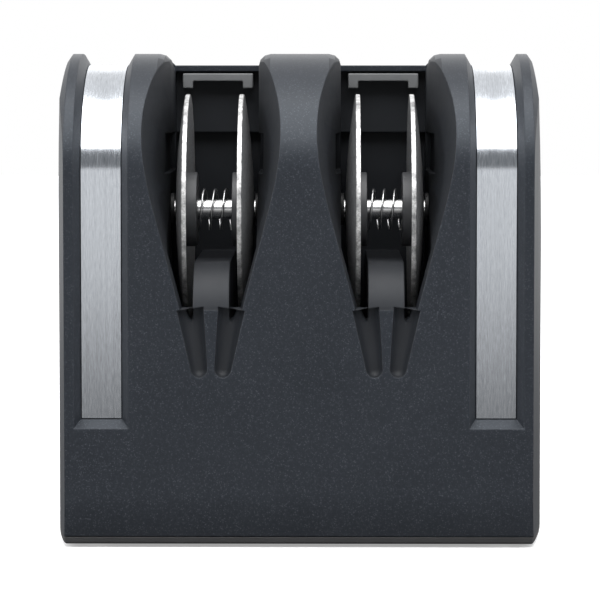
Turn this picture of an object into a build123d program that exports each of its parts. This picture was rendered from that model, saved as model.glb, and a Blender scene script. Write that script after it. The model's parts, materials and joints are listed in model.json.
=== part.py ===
from build123d import *
import os
from math import acos, asin, atan2, cos, degrees, hypot, radians, sin, tan

os.makedirs("parts", exist_ok=True)

# Frame: +X is the viewer's right, +Y points to the rear, +Z is up, and the table is at Z = 0.
# "Depth" is a distance behind the front face.

# ---------------------------------------------------------------- driving dimensions, mm
# Body seen from above
body_depth = 110.0            # front face to rear wall
front_half_width = 61.2       # at the front corners
bulge_half_width = 66.0       # where the sides are passed at bulge_depth
bulge_depth = 50.0
rear_half_width = 63.5
rear_corner_radius = 12.0
rear_proud = 3.0              # what stands out of the rear wall
skirt = 5.0                   # the body's form is drawn this far below the covers, then cut

# Body seen from the side
apex_height = 129.3
apex_depth = 40.0
arch_spring_height = 98.0     # where the front face starts to arch back
arch_front_radius = 26.0      # of the arch where it leaves the front face
rear_arch_radius = 90.0
rear_shoulder_radius = 16.0
under_height = 11.0           # the covers curve in below this height over their lower edge
under_depth = 2.2

# Body seen from the front: the cheeks lean in towards the top
cheek_low_half_width = 66.2
cheek_mid_half_width = 65.6
cheek_mid_height = 68.6
cheek_top_half_width = 62.4
cheek_top_height = 126.0
cheek_bevel_start = 61.2      # outer rims end here and a bevel falls to the cheek
cheek_bevel_width = 5.5
cheek_bevel_depth = 8.0

# Shells
wall = 2.5
seam = 0.2                    # gap in a seam between two mouldings
split_depth = 70.0            # the front cover ends and the rear cover starts here
foot_proud = 1.0
base_lip = 1.8
base_platform = 2.0           # raised middle of the base plate, inside the covers

# Steel trim strips in their bevelled channels
strip_centre = 51.6
strip_width = 10.8
strip_thickness = 0.8
strip_recess = 3.0            # strip's outer face below the rims
strip_low = 33.8              # height of the strip's lower end
strip_side_gap = 0.15
strip_end = 88.0              # depth where the channel ends on the rear cover
channel_bevel = 1.7
channel_end_bevel = 2.3
strip_bed = 2.4               # plastic left behind the strip

# Sharpening stages, one each side of the middle
stage_centre = 22.85
mouth_half_width = 19.6       # of the V-shaped mouth, at its widest
mouth_wide_height = 120.0
mouth_bend_radius = 125.0
mouth_flank_angle = 14.8
mouth_low = 62.0
chamber_half_width = 11.8
chamber_low = 52.0
funnel_depth = 36.0           # the funnel narrows to the chamber at this depth
funnel_wall = 2.0
chamber_wall = 2.2
chamber_front_wall = 3.3
chamber_rear = 64.0           # depth of the chamber's rear wall, over the discs' pocket
chamber_rear_wall = 2.0       # behind the pocket
pocket_top = 107.7
shoulder_width = 3.2          # rounded shoulder of each ridge, along the valley
shoulder_depth = 3.0
guide_notch_low = 97.5
guide_notch_high = 108.0
guide_notch_deep = 1.4
guide_notch_start = 16.0
bar_depth = 4.0               # cross bar behind each valley
bar_recess = 0.8              # below the ridges

# Half-round relief grooves under each mouth
groove_tip_radius = 2.2
groove_exit_radius = 3.5
groove_tip_height = 44.9
groove_tip_offset = 3.1       # from the stage's centre to the middle of the tip
groove_exit_height = 62.7
groove_exit_offset = 5.35     # from the stage's centre, at that height
groove_reach = 0.2            # over that height, into the mouth

# Tongue between the two grooves, which runs back between the discs
tongue_half_width = 4.7
tongue_front_top = 61.0
tongue_top = 74.5
tongue_round = 13.5

# Knife guard brackets on the chamber's rear wall
guard_width = 19.4
guard_drop = 5.3              # its top below the body's apex
guard_bar = 2.1
guard_leg_width = 2.8
guard_leg_drop = 9.4          # its legs' lower ends below the apex
guard_thickness = 6.0
guard_pad = 0.6               # from the bracket to the cross bar over it

# Grinding shaft and discs
shaft_height = 87.4
shaft_depth = 35.5
shaft_radius = 2.75
shaft_half_length = 45.0
disc_radius = 31.0
disc_rim_face = 6.6           # inner face of a rim, from the stage's centre
disc_rim = 1.3
disc_dome = 2.6
hub_radius = 10.0
hub_inner_face = 4.7          # from the stage's centre
hub_outer_face = 10.6
hub_sleeve_radius = 5.0
running_clearance = 0.05
end_clearance = 0.3           # between the ends of parts that turn and parts that do not
spring_radius = 5.4           # to the middle of the wire
spring_wire = 0.6             # diameter
spring_turns = 3.0
spacer_radius = 4.4
wall_slot_clearance = 0.8
bearing_radius = 4.6
bearing_width = 3.0
bearing_gap = 1.4             # from the chamber wall to the bearing
clip_radius = 4.3
clip_thickness = 0.6

# Belt drive
shaft_pulley_radius = 13.0
motor_pulley_radius = 6.5
pulley_width = 7.0
pulley_flange = 1.0
pulley_flange_height = 1.6
belt_width = 4.6
belt_thickness = 1.2
belt_clearance = 0.1

# Motor, lying across the body below the left stage
motor_height = 28.5
motor_depth = 58.0
can_radius = 18.0
can_wall = 1.2
can_length = 38.0
can_right_end = -9.0          # X of the can's open end, towards the belt
end_cap_thickness = 2.0
end_cap_boss_radius = 6.0
end_cap_boss = 3.0
bush_radius = 3.6
bush_length = 4.2
motor_shaft_radius = 1.6
magnet_thickness = 4.0
magnet_angle = 130.0
magnet_overlap = 1.0          # the magnets are this much longer than the armature, at each end
armature_radius = 11.8
armature_length = 20.0
armature_left = -39.0
armature_slots = 7
armature_slot_width = 2.4
armature_slot_deep = 4.0
winding_radius = 9.6
winding_length = 4.0
commutator_radius = 4.0
commutator_length = 5.5
brush_size = 3.0
brush_length = 7.0
brush_clearance = 0.05
sleeve_wall = 1.0
fan_radius = 15.0
fan_hub_radius = 4.0
fan_blades = 9
fan_blade_thickness = 1.0
fan_width = 6.0
fan_disc = 1.2
fan_gap = 2.5                 # from the motor pulley to the fan

# Chassis that carries the bearings and the motor
deck_thickness = 2.5
deck_gap = 0.5                # between the chamber walls and the deck
deck_half_width = 46.0
deck_start = 12.0
deck_end = 64.0
post_half_depth = 7.0
post_above_shaft = 8.0
leg_width = 4.0
leg_depth = 6.0
saddle_thickness = 5.0
saddle_half_depth = 29.0
saddle_web = 2.5
left_saddle_x = -45.0
right_saddle_x = -12.35      # against the wall of the left chute
strap_inset = 0.35
strap_clearance = 0.1
strap_thickness = 1.2
strap_ear = 6.2
strap_screw_radius = 1.2
strap_screw_head_radius = 2.2
strap_screw_head = 1.2
strap_screw_length = 8.0
belt_slot_half_width = 5.5
belt_slot_start = 37.0
belt_slot_end = 62.5
leg_outer = 46.0
rear_leg_start = 58.0
chute_half_width = 9.0
chute_start = 15.0
chute_end = 34.0
chute_wall = 1.5

# Filings door under the chutes
door_half_width = 36.0
door_thickness = 1.2
door_lip = 2.0                # of the base plate under the door's edges
door_travel = 20.0
door_clearance = 0.3
door_floor = 1.0              # plastic under the door's edges
door_start = 13.0
door_end = 44.0
door_grip = 1.0               # height of the grip ridge
door_grip_start = 38.0
door_grip_width = 3.0
door_grip_half_length = 12.0
magnet_bar_height = 6.0
magnet_bar_thickness = 3.0
magnet_bar_half_length = 6.0
magnet_bar_low = 20.0

# Feet and screws
foot_radius = 5.5
foot_recess = 1.2
foot_x = 48.0
foot_front_depth = 24.0
foot_rear_inset = 20.0        # from the rear wall
screw_shank_radius = 1.5
screw_head_radius = 2.9
screw_head = 1.6
screw_bore_clearance = 0.05
screw_hole_clearance = 0.3
boss_radius = 3.6
base_screw_x = 53.0
base_screw_front_depth = 7.0
base_screw_rear_inset = 7.5   # from the rear wall
base_screw_length = 12.0
cover_screw_x = 52.5
cover_screw_height = 78.0
cover_screw_length = 14.0
cover_boss_length = 12.0
cover_boss_floor = 3.0
cover_boss_wall = 1.9
web_thickness = 2.0

# Rear: rocker switch, cord inlet and vents
switch_x = 36.0
switch_height = 26.0
switch_width = 15.0
switch_tall = 21.0
switch_body_depth = 16.0
switch_bezel = 1.6
switch_bezel_thickness = 1.2
rocker_gap = 0.3
rocker_half_height = 8.2
rocker_half_width = 5.7
rocker_proud = 1.6            # middle of the rocker's face, from its pivot
rocker_deep = 3.0
rocker_angle = 8.0            # it tips this far to each side of its middle
rocker_pivot_deep = 1.0       # behind the rear wall's outer face
rocker_pin_radius = 1.2
rocker_pin_length = 1.3
rocker_cavity_half_height = 8.85
rocker_cavity_deep = 5.0      # from the pivot
inlet_x = -36.0
inlet_height = 21.5
inlet_radius = 5.0
inlet_flange = 2.0
inlet_flange_thickness = 2.0
inlet_bore = 2.9
inlet_tail = 8.0
vent_count = 7
vent_pitch = 6.0
vent_slot_width = 2.4
vent_slot_length = 26.0
vent_height = 62.0

# Control board
board_length = 26.0
board_depth = 40.0
board_thickness = 1.6
board_x = 28.0                # middle of the board
board_centre_depth = 62.0
board_standoff = 4.0
standoff_radius = 2.6
capacitor_radius = 6.0
capacitor_height = 18.0
rectifier_size = 12.0
rectifier_height = 6.0
choke_radius = 8.0
choke_hole_radius = 4.0
choke_height = 7.0
terminal_length = 15.0
terminal_depth = 8.0
terminal_height = 9.0

# ---------------------------------------------------------------- derived places
front = -(body_depth + rear_proud) / 2
rear = front + body_depth
foot_rear_depth = body_depth - foot_rear_inset
base_screw_rear_depth = body_depth - base_screw_rear_inset
base_low = foot_proud
cover_low = base_low + base_lip + seam
under_top = cover_low + under_height
platform_top = base_low + base_lip + base_platform
guard_top = apex_height - guard_drop
guard_leg_low = apex_height - guard_leg_drop
far = 200.0                                   # longer than the body, for cutting tools
sides = (-1, 1)
side_names = {-1: "left", 1: "right"}

shaft_y = front + shaft_depth
motor_y = front + motor_depth
chamber_outer = chamber_half_width + chamber_wall
deck_top = chamber_low - deck_gap
deck_low = deck_top - deck_thickness
pocket_rear = split_depth - chamber_rear_wall
bearing_inner_face = chamber_outer + bearing_gap
can_left_end = can_right_end - can_length
pocket_low = base_low + door_floor
door_low = pocket_low + door_clearance
door_top = door_low + door_thickness


def across(depth):
    """Plane at a depth behind the front face, with X and Z as its axes; it faces the front."""
    return Plane.XZ.offset(-(front + depth))


def export(piece, name):
    piece.part.label = name
    export_step(piece.part, f"parts/{name}.step")


# ---------------------------------------------------------------- the body's outer form
def side_profile(x, inset):
    """Side view of the covers in the plane at x, moved inwards by inset; it runs on below them."""
    low = cover_low - skirt - inset
    rear_angle = degrees(acos((body_depth - apex_depth) / rear_arch_radius))
    rise = apex_height - arch_spring_height
    half_turn = atan2(rise - arch_front_radius, apex_depth - arch_front_radius)
    turn = 90 - 2 * degrees(half_turn)         # taken by the front arc, the rest by the top arc
    top_radius = arch_front_radius + (apex_depth - arch_front_radius) / cos(radians(turn))
    rear_middle = (front + apex_depth, apex_height - rear_arch_radius)
    rear_arch_end = rear_middle[1] + rear_arch_radius * sin(radians(rear_angle))
    bend = under_depth / 4                     # the curve under has most of its turn low down
    with BuildSketch(Plane.YZ.offset(x)) as view:
        with BuildLine():
            Line((front + under_depth, low), (front + under_depth, cover_low))
            ThreePointArc(
                (front + under_depth, cover_low),
                (front + bend, cover_low + under_height / 2),
                (front, under_top),
            )
            Line((front, under_top), (front, arch_spring_height))
            CenterArc(
                (front + arch_front_radius, arch_spring_height), arch_front_radius, 180, -turn
            )
            CenterArc(
                (front + apex_depth, apex_height - top_radius), top_radius, 180 - turn, turn - 90
            )
            CenterArc(rear_middle, rear_arch_radius, rear_angle, 90 - rear_angle)
            Line((rear, rear_arch_end), (rear, under_top))
            ThreePointArc(
                (rear, under_top),
                (rear - bend, cover_low + under_height / 2),
                (rear - under_depth, cover_low),
            )
            Line((rear - under_depth, cover_low), (rear - under_depth, low))
            Line((rear - under_depth, low), (front + under_depth, low))
        make_face()
        shoulder = view.vertices().sort_by_distance((rear, rear_arch_end))[0]
        fillet(shoulder, radius=rear_shoulder_radius)
        if inset > 0:
            offset(amount=-inset, kind=Kind.INTERSECTION)
    return view.sketch


def plan_profile(inset, height):
    """The body seen from above, moved inwards by inset, drawn at a height."""
    with BuildSketch(Plane.XY.offset(height)) as view:
        with BuildLine():
            Line((-front_half_width, front), (front_half_width, front))
            for side in sides:
                ThreePointArc(
                    (side * front_half_width, front),
                    (side * bulge_half_width, front + bulge_depth),
                    (side * rear_half_width, rear),
                )
            Line((rear_half_width, rear), (-rear_half_width, rear))
        make_face()
        fillet(view.vertices().group_by(Axis.Y)[-1], radius=rear_corner_radius)
        if inset > 0:
            offset(amount=-inset, kind=Kind.INTERSECTION)
    return view.sketch


def front_profile(inset):
    """The body seen from the front, moved inwards by inset on its cheeks."""
    with BuildSketch(Plane.XZ) as view:
        with BuildLine():
            Line((-cheek_low_half_width + inset, 0), (cheek_low_half_width - inset, 0))
            for side in sides:
                Line(
                    (side * (cheek_low_half_width - inset), 0),
                    (side * (cheek_low_half_width - inset), under_top),
                )
                ThreePointArc(
                    (side * (cheek_low_half_width - inset), under_top),
                    (side * (cheek_mid_half_width - inset), cheek_mid_height),
                    (side * (cheek_top_half_width - inset), cheek_top_height),
                )
                Line(
                    (side * (cheek_top_half_width - inset), cheek_top_height),
                    (side * (cheek_top_half_width - inset), far),
                )
            Line((cheek_top_half_width - inset, far), (-cheek_top_half_width + inset, far))
        make_face()
    return view.sketch


def arched_slab(x_from, x_to, inset_from, inset_to):
    """Solid between two planes of X, whose side view is inset by inset_from and inset_to there."""
    near_end = side_profile(x_from, inset_from)
    if inset_from == inset_to:
        with BuildPart() as slab:
            extrude(near_end, amount=x_to - x_from, dir=(1, 0, 0))
        return slab.part
    far_end = side_profile(x_to, inset_to)
    with BuildPart() as slab:
        loft(sections=[near_end, far_end], ruled=True)
    return slab.part


def body_form(inset, low, height):
    """The body's outer form, moved inwards by inset, from low upwards."""
    flat_half = cheek_bevel_start - inset
    bevel_end = flat_half + cheek_bevel_width
    middle = side_profile(-flat_half, inset)
    cheeks = [
        arched_slab(side * flat_half, side * bevel_end, inset, inset + cheek_bevel_depth)
        for side in sides
    ]
    plan = plan_profile(inset, low)
    front_view = front_profile(inset)
    with BuildPart() as form:
        extrude(middle, amount=2 * flat_half, dir=(1, 0, 0))
        add(cheeks)
        extrude(plan, amount=height, mode=Mode.INTERSECT)
        extrude(front_view, amount=far, both=True, mode=Mode.INTERSECT)
    return form.part


outer_form = body_form(0, cover_low, far)
inner_form = body_form(wall, cover_low, far)


# ---------------------------------------------------------------- shapes of one sharpening stage
def block(low, high, mode=Mode.ADD):
    """Box between two opposite corners."""
    size = [b - a for a, b in zip(low, high)]
    with Locations(low):
        Box(*size, align=(Align.MIN, Align.MIN, Align.MIN), mode=mode)


def rod(start, radius, length, axis, mode=Mode.ADD):
    """Round bar from start along an axis of the frame."""
    turn = {"x": (0, 90, 0), "y": (-90, 0, 0), "z": (0, 0, 0)}[axis]
    with Locations(start):
        Cylinder(
            radius,
            length,
            rotation=turn,
            align=(Align.CENTER, Align.CENTER, Align.MIN),
            mode=mode,
        )


def funnel(centre, grow):
    """Knife funnel of a stage: a V-shaped mouth that narrows to the chamber; widened by grow."""
    radius = mouth_bend_radius + grow
    bend_x = mouth_half_width - mouth_bend_radius
    flank = radians(mouth_flank_angle)
    flank_x = bend_x + radius * cos(flank)
    flank_z = mouth_wide_height - radius * sin(flank)
    low = mouth_low - grow
    foot_x = flank_x - (flank_z - low) * tan(flank)
    narrowing = mouth_half_width - chamber_half_width
    top = apex_height + narrowing + grow + wall
    top_angle = degrees(asin((top - mouth_wide_height) / radius))
    top_x = bend_x + radius * cos(radians(top_angle))
    facing_in = Plane(origin=(centre, front - wall, 0), x_dir=(-1, 0, 0), z_dir=(0, 1, 0))
    with BuildPart() as cone:
        with BuildSketch(facing_in):
            with BuildLine():
                Line((-foot_x, low), (foot_x, low))
                Line((foot_x, low), (flank_x, flank_z))
                CenterArc(
                    (bend_x, mouth_wide_height), radius, -mouth_flank_angle, mouth_flank_angle + top_angle
                )
                Line((top_x, top), (-top_x, top))
                CenterArc(
                    (-bend_x, mouth_wide_height), radius, 180 - top_angle, mouth_flank_angle + top_angle
                )
                Line((-flank_x, flank_z), (-foot_x, low))
            make_face()
        extrude(amount=funnel_depth + wall, taper=degrees(atan2(narrowing, funnel_depth + wall)))
    return cone.part


def groove(centre, side, more):
    """Ball-ended cone that lies where a relief groove is, leaning out as it rises."""
    tip = Vector(centre + side * groove_tip_offset, front, groove_tip_height + groove_tip_radius)
    exit_point = Vector(centre + side * groove_exit_offset, front, groove_exit_height)
    rise = exit_point - tip
    growth = (groove_exit_radius - groove_tip_radius) / rise.length
    length = rise.length + groove_reach
    start = groove_tip_radius + more
    with BuildPart() as bar:
        with Locations(Plane(origin=tip, z_dir=rise)):
            Cone(start, start + growth * length, length, align=(Align.CENTER, Align.CENTER, Align.MIN))
        with Locations(tip):
            Sphere(start)
    return bar.part


def channel(x_low, x_high, bevel, deep, floor):
    """Cutter for a channel that follows the arch: bevelled walls deep down, then a floor."""
    banks = [
        arched_slab(x_low, x_low + bevel, 0, deep),
        arched_slab(x_high - bevel, x_high, deep, 0),
        arched_slab(x_low + bevel, x_high - bevel, floor, floor),
    ]
    with BuildPart() as cutter:
        block((x_low, front - wall, 0), (x_high, rear + wall, apex_height + wall))
        add(banks, mode=Mode.SUBTRACT)
    return cutter.part


def shoulders(centre):
    """Cutter that rounds the two ridges beside a valley, in straight steps along the arch."""
    steps = 3
    with BuildPart() as cutter:
        outer = chamber_half_width + shoulder_width
        block(
            (centre - outer, front - wall, arch_spring_height),
            (centre + outer, front + chamber_rear - bar_depth, apex_height + wall),
        )
    kept = []
    for step in range(steps):
        turns = [radians(90 * n / steps) for n in (step, step + 1)]
        x = [chamber_half_width + shoulder_width * (1 - cos(turn)) for turn in turns]
        inset = [shoulder_depth * (1 - sin(turn)) for turn in turns]
        kept.append(arched_slab(centre + x[0], centre + x[1], inset[0], inset[1]))
        kept.append(arched_slab(centre - x[1], centre - x[0], inset[1], inset[0]))
    with BuildPart() as trimmed:
        add(cutter.part)
        add(kept, mode=Mode.SUBTRACT)
    return trimmed.part


# ---------------------------------------------------------------- front cover
channel_half = strip_width / 2 + channel_bevel
strip_floor = strip_recess + strip_thickness
bed_inset = strip_floor + strip_bed
channels = []
beds = []
for side in sides:
    centre = side * strip_centre
    with BuildSketch(Plane.YZ.offset(centre - channel_half - 1)) as below_channel:
        with BuildLine():
            slope = channel_end_bevel / strip_recess
            Polyline(
                (front - wall, strip_low - channel_end_bevel - wall * slope),
                (front + strip_recess, strip_low),
                (front + 2 * bed_inset, strip_low),
                (front + 2 * bed_inset, 0),
                (front - wall, 0),
                close=True,
            )
        make_face()
    full_channel = channel(
        centre - channel_half, centre + channel_half, channel_bevel, strip_recess, strip_floor
    )
    with BuildPart() as cutter:
        add(full_channel)
        extrude(below_channel.sketch, amount=2 * channel_half + 2, mode=Mode.SUBTRACT)
        block(
            (centre - channel_half, front + strip_end, 0),
            (centre + channel_half, rear + wall, apex_height),
            mode=Mode.SUBTRACT,
        )
    channels.append(cutter.part)
    bed_edges = sorted((side * (strip_centre - channel_half - wall), side * cheek_bevel_start))
    bed_core = arched_slab(bed_edges[0], bed_edges[1], bed_inset, bed_inset)
    with BuildPart() as bed:
        add(inner_form)
        block(
            (bed_edges[0], front, strip_low - channel_end_bevel - strip_bed),
            (bed_edges[1], front + strip_end + strip_bed, apex_height),
            mode=Mode.INTERSECT,
        )
        add(bed_core, mode=Mode.SUBTRACT)
    beds.append(bed.part)

funnels = []
funnel_walls = []
grooves = []
groove_walls = []
shoulder_cuts = []
for side in sides:
    centre = side * stage_centre
    funnels.append(funnel(centre, 0))
    funnel_walls.append(funnel(centre, funnel_wall) & outer_form)
    shoulder_cuts.append(shoulders(centre))
    for flank in sides:
        grooves.append(groove(centre, flank, 0))
        groove_walls.append(groove(centre, flank, funnel_wall) & inner_form)

bar_floor_cuts = []
for side in sides:
    bar_half = chamber_half_width + bar_recess
    bar_channel = channel(
        side * stage_centre - bar_half, side * stage_centre + bar_half, bar_recess, bar_recess, bar_recess
    )
    with BuildPart() as cutter:
        add(bar_channel)
        block(
            (-far, front + chamber_rear - bar_depth, arch_spring_height),
            (far, front + split_depth + 1, far),
            mode=Mode.INTERSECT,
        )
    bar_floor_cuts.append(cutter.part)

with BuildPart() as stage_walls:
    for side in sides:
        centre = side * stage_centre
        block(
            (centre - chamber_outer, front, chamber_low),
            (centre + chamber_outer, front + split_depth, apex_height),
        )
    add(outer_form, mode=Mode.INTERSECT)

with BuildPart() as front_cover:
    add(outer_form)
    add(inner_form, mode=Mode.SUBTRACT)
    add(beds)
    add(funnel_walls)
    add(stage_walls.part)
    add(groove_walls)
    # bosses for the base screws and, on webs, for the screws that hold the rear cover
    for side in sides:
        rod(
            (side * base_screw_x, front + base_screw_front_depth, platform_top + seam),
            boss_radius,
            base_screw_length,
            "z",
        )
        boss_start = front + split_depth - cover_boss_length
        rod((side * cover_screw_x, boss_start, cover_screw_height), boss_radius, cover_boss_length, "y")
        web = sorted((side * cover_screw_x, side * (cheek_mid_half_width - wall / 2)))
        block(
            (web[0], boss_start, cover_screw_height - web_thickness / 2),
            (web[1], front + split_depth, cover_screw_height + web_thickness / 2),
        )
    # chambers and mouths
    for side in sides:
        centre = side * stage_centre
        block(
            (centre - chamber_half_width, front + chamber_front_wall, chamber_low),
            (centre + chamber_half_width, front + chamber_rear - bar_depth, far),
            mode=Mode.SUBTRACT,
        )
        block(
            (centre - chamber_half_width, front + chamber_front_wall, chamber_low),
            (centre + chamber_half_width, front + chamber_rear, guard_top + guard_pad),
            mode=Mode.SUBTRACT,
        )
        block(
            (centre - chamber_half_width, front + chamber_front_wall, chamber_low),
            (centre + chamber_half_width, front + pocket_rear, pocket_top),
            mode=Mode.SUBTRACT,
        )
        for flank in sides:
            wall_side = sorted(
                centre + flank * reach for reach in (chamber_half_width - 1, chamber_outer + funnel_wall)
            )
            slot_half = spacer_radius + wall_slot_clearance
            block(
                (wall_side[0], shaft_y - slot_half, chamber_low - 1),
                (wall_side[1], shaft_y + slot_half, shaft_height),
                mode=Mode.SUBTRACT,
            )
            rod(
                (wall_side[0], shaft_y, shaft_height),
                slot_half,
                wall_side[1] - wall_side[0],
                "x",
                mode=Mode.SUBTRACT,
            )
            notch = sorted(
                centre + flank * reach
                for reach in (chamber_half_width - 1, chamber_half_width + guide_notch_deep)
            )
            block(
                (notch[0], front + guide_notch_start, guide_notch_low),
                (notch[1], front + chamber_rear - bar_depth, guide_notch_high),
                mode=Mode.SUBTRACT,
            )
    add(funnels, mode=Mode.SUBTRACT)
    add(shoulder_cuts, mode=Mode.SUBTRACT)
    add(bar_floor_cuts, mode=Mode.SUBTRACT)
    # tongues between the discs
    for side in sides:
        centre = side * stage_centre
        with BuildSketch(Plane.YZ.offset(centre - tongue_half_width)):
            with BuildLine():
                Line((front, chamber_low), (front, tongue_front_top))
                RadiusArc(
                    (front, tongue_front_top),
                    (front + tongue_round, tongue_top),
                    tongue_round,
                )
                Polyline(
                    (front + tongue_round, tongue_top),
                    (front + pocket_rear, tongue_top),
                    (front + pocket_rear, chamber_low),
                    (front, chamber_low),
                )
            make_face()
        extrude(amount=2 * tongue_half_width)
    add(grooves, mode=Mode.SUBTRACT)
    add(channels, mode=Mode.SUBTRACT)
    for side in sides:
        rod(
            (side * base_screw_x, front + base_screw_front_depth, platform_top),
            screw_shank_radius + screw_bore_clearance,
            base_screw_length,
            "z",
            mode=Mode.SUBTRACT,
        )
        rod(
            (side * cover_screw_x, front + split_depth - cover_boss_length + 1, cover_screw_height),
            screw_shank_radius + screw_bore_clearance,
            cover_boss_length,
            "y",
            mode=Mode.SUBTRACT,
        )
    block((-far, front - 1, 0), (far, front + split_depth, far), mode=Mode.INTERSECT)
export(front_cover, "front_cover")

# ---------------------------------------------------------------- rear cover
cover_head_y = front + split_depth + seam + cover_boss_floor
cover_shank_hole = screw_shank_radius + screw_hole_clearance
head_hole = screw_head_radius + screw_hole_clearance
switch_hole_gap = seam / 2

with BuildPart() as rear_cover:
    add(outer_form)
    add(inner_form, mode=Mode.SUBTRACT)
    add(beds)
    for side in sides:
        rod(
            (side * base_screw_x, front + base_screw_rear_depth, platform_top + seam),
            boss_radius,
            base_screw_length,
            "z",
        )
        block(
            (
                side * base_screw_x - web_thickness / 2,
                front + base_screw_rear_depth,
                platform_top + seam,
            ),
            (
                side * base_screw_x + web_thickness / 2,
                rear - wall,
                platform_top + seam + base_screw_length,
            ),
        )
        rod(
            (side * cover_screw_x, front + split_depth, cover_screw_height),
            head_hole + cover_boss_wall,
            body_depth - split_depth - wall + seam,
            "y",
        )
    add(channels, mode=Mode.SUBTRACT)
    for side in sides:
        rod(
            (side * base_screw_x, front + base_screw_rear_depth, platform_top),
            screw_shank_radius + screw_bore_clearance,
            base_screw_length,
            "z",
            mode=Mode.SUBTRACT,
        )
        rod(
            (side * cover_screw_x, front + split_depth, cover_screw_height),
            cover_shank_hole,
            body_depth,
            "y",
            mode=Mode.SUBTRACT,
        )
        rod(
            (side * cover_screw_x, cover_head_y, cover_screw_height),
            head_hole,
            body_depth,
            "y",
            mode=Mode.SUBTRACT,
        )
    block(
        (switch_x - switch_width / 2 - switch_hole_gap, rear - 2 * wall,
         switch_height - switch_tall / 2 - switch_hole_gap),
        (switch_x + switch_width / 2 + switch_hole_gap, rear + wall,
         switch_height + switch_tall / 2 + switch_hole_gap),
        mode=Mode.SUBTRACT,
    )
    rod(
        (inlet_x, rear - 2 * wall, inlet_height),
        inlet_radius + running_clearance,
        4 * wall,
        "y",
        mode=Mode.SUBTRACT,
    )
    with BuildSketch(Plane.XZ.offset(-rear - wall)):
        with Locations((0, vent_height)):
            with GridLocations(vent_pitch, 0, vent_count, 1):
                SlotOverall(vent_slot_length, vent_slot_width, rotation=90)
    extrude(amount=4 * wall, mode=Mode.SUBTRACT)
    block((-far, front + split_depth + seam, 0), (far, rear + wall, far), mode=Mode.INTERSECT)
export(rear_cover, "rear_cover")

# ---------------------------------------------------------------- trim strips
strip_half = strip_width / 2 - strip_side_gap
for side in sides:
    centre = side * strip_centre
    strip_slab = arched_slab(centre - strip_half, centre + strip_half, strip_recess, strip_recess)
    strip_core = arched_slab(centre - strip_half, centre + strip_half, strip_floor, strip_floor)
    with BuildPart() as trim_strip:
        add(strip_slab)
        add(strip_core, mode=Mode.SUBTRACT)
        block(
            (centre - strip_half, front, strip_low + strip_side_gap),
            (centre + strip_half, front + strip_end - strip_side_gap, apex_height),
            mode=Mode.INTERSECT,
        )
    export(trim_strip, f"trim_strip_{side_names[side]}")

# ---------------------------------------------------------------- base plate, feet and screws
base_form = body_form(0, base_low, base_lip)
platform_form = body_form(wall + door_clearance, base_low, base_lip + base_platform)
screw_head_low = base_low + base_lip - screw_head + running_clearance
base_screws_at = [
    (side * base_screw_x, front + depth)
    for side in sides
    for depth in (base_screw_front_depth, base_screw_rear_depth)
]
feet_at = [
    (side * foot_x, front + depth) for side in sides for depth in (foot_front_depth, foot_rear_depth)
]
standoffs_at = [
    (board_x + side * (board_length / 2 - standoff_radius),
     front + board_centre_depth + end * (board_depth / 2 - standoff_radius))
    for side in sides
    for end in sides
]

with BuildPart() as base_plate:
    add(base_form)
    chamfer(base_plate.faces().sort_by(Axis.Z)[0].edges(), length=foot_proud / 2)
    add(platform_form)
    with Locations(*[(x, y, platform_top) for x, y in standoffs_at]):
        Cylinder(
            standoff_radius, board_standoff, align=(Align.CENTER, Align.CENTER, Align.MIN)
        )
    for x, y in feet_at:
        rod((x, y, 0), foot_radius + running_clearance, foot_proud + foot_recess, "z", mode=Mode.SUBTRACT)
    for x, y in base_screws_at:
        rod((x, y, 0), head_hole, screw_head_low + screw_head, "z", mode=Mode.SUBTRACT)
        rod((x, y, 0), cover_shank_hole, far, "z", mode=Mode.SUBTRACT)
    # undercut pocket that the filings door slides in
    block(
        (-door_half_width - door_clearance, front + door_start - door_clearance, pocket_low),
        (
            door_half_width + door_clearance,
            front + door_end + door_travel + door_clearance,
            door_top + door_clearance,
        ),
        mode=Mode.SUBTRACT,
    )
    block(
        (-door_half_width + door_lip, front + door_start + door_lip, 0),
        (door_half_width - door_lip, front + door_end + door_travel - door_lip, pocket_low),
        mode=Mode.SUBTRACT,
    )
    for side in sides:
        block(
            (side * stage_centre - chute_half_width, front + chute_start, pocket_low),
            (side * stage_centre + chute_half_width, front + chute_end, platform_top),
            mode=Mode.SUBTRACT,
        )
export(base_plate, "base_plate")

with BuildPart() as rubber_feet:
    for x, y in feet_at:
        rod((x, y, 0), foot_radius, foot_proud + foot_recess, "z")
    fillet(rubber_feet.faces().group_by(Axis.Z)[0].edges(), radius=0.4)
export(rubber_feet, "rubber_feet")


def screw(head_start, toward):
    """Pan-head screw with a cross recess; its shank leaves the head towards toward."""
    made_length = hypot(*toward)
    with BuildPart(Plane(origin=head_start, z_dir=toward)) as made:
        Cylinder(screw_head_radius, screw_head, align=(Align.CENTER, Align.CENTER, Align.MIN))
        with Locations((0, 0, screw_head)):
            Cylinder(screw_shank_radius, made_length, align=(Align.CENTER, Align.CENTER, Align.MIN))
        for turn in (0, 90):
            Box(
                screw_head_radius,
                screw_head_radius / 4,
                screw_head,
                rotation=(0, 0, turn),
                mode=Mode.SUBTRACT,
            )
    return made.part


base_screw_set = [screw((x, y, screw_head_low), (0, 0, base_screw_length)) for x, y in base_screws_at]
cover_screw_set = [
    screw((side * cover_screw_x, cover_head_y + screw_head, cover_screw_height), (0, -cover_screw_length, 0))
    for side in sides
]
with BuildPart() as base_screws:
    add(base_screw_set)
export(base_screws, "base_screws")
with BuildPart() as cover_screws:
    add(cover_screw_set)
export(cover_screws, "cover_screws")

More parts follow.
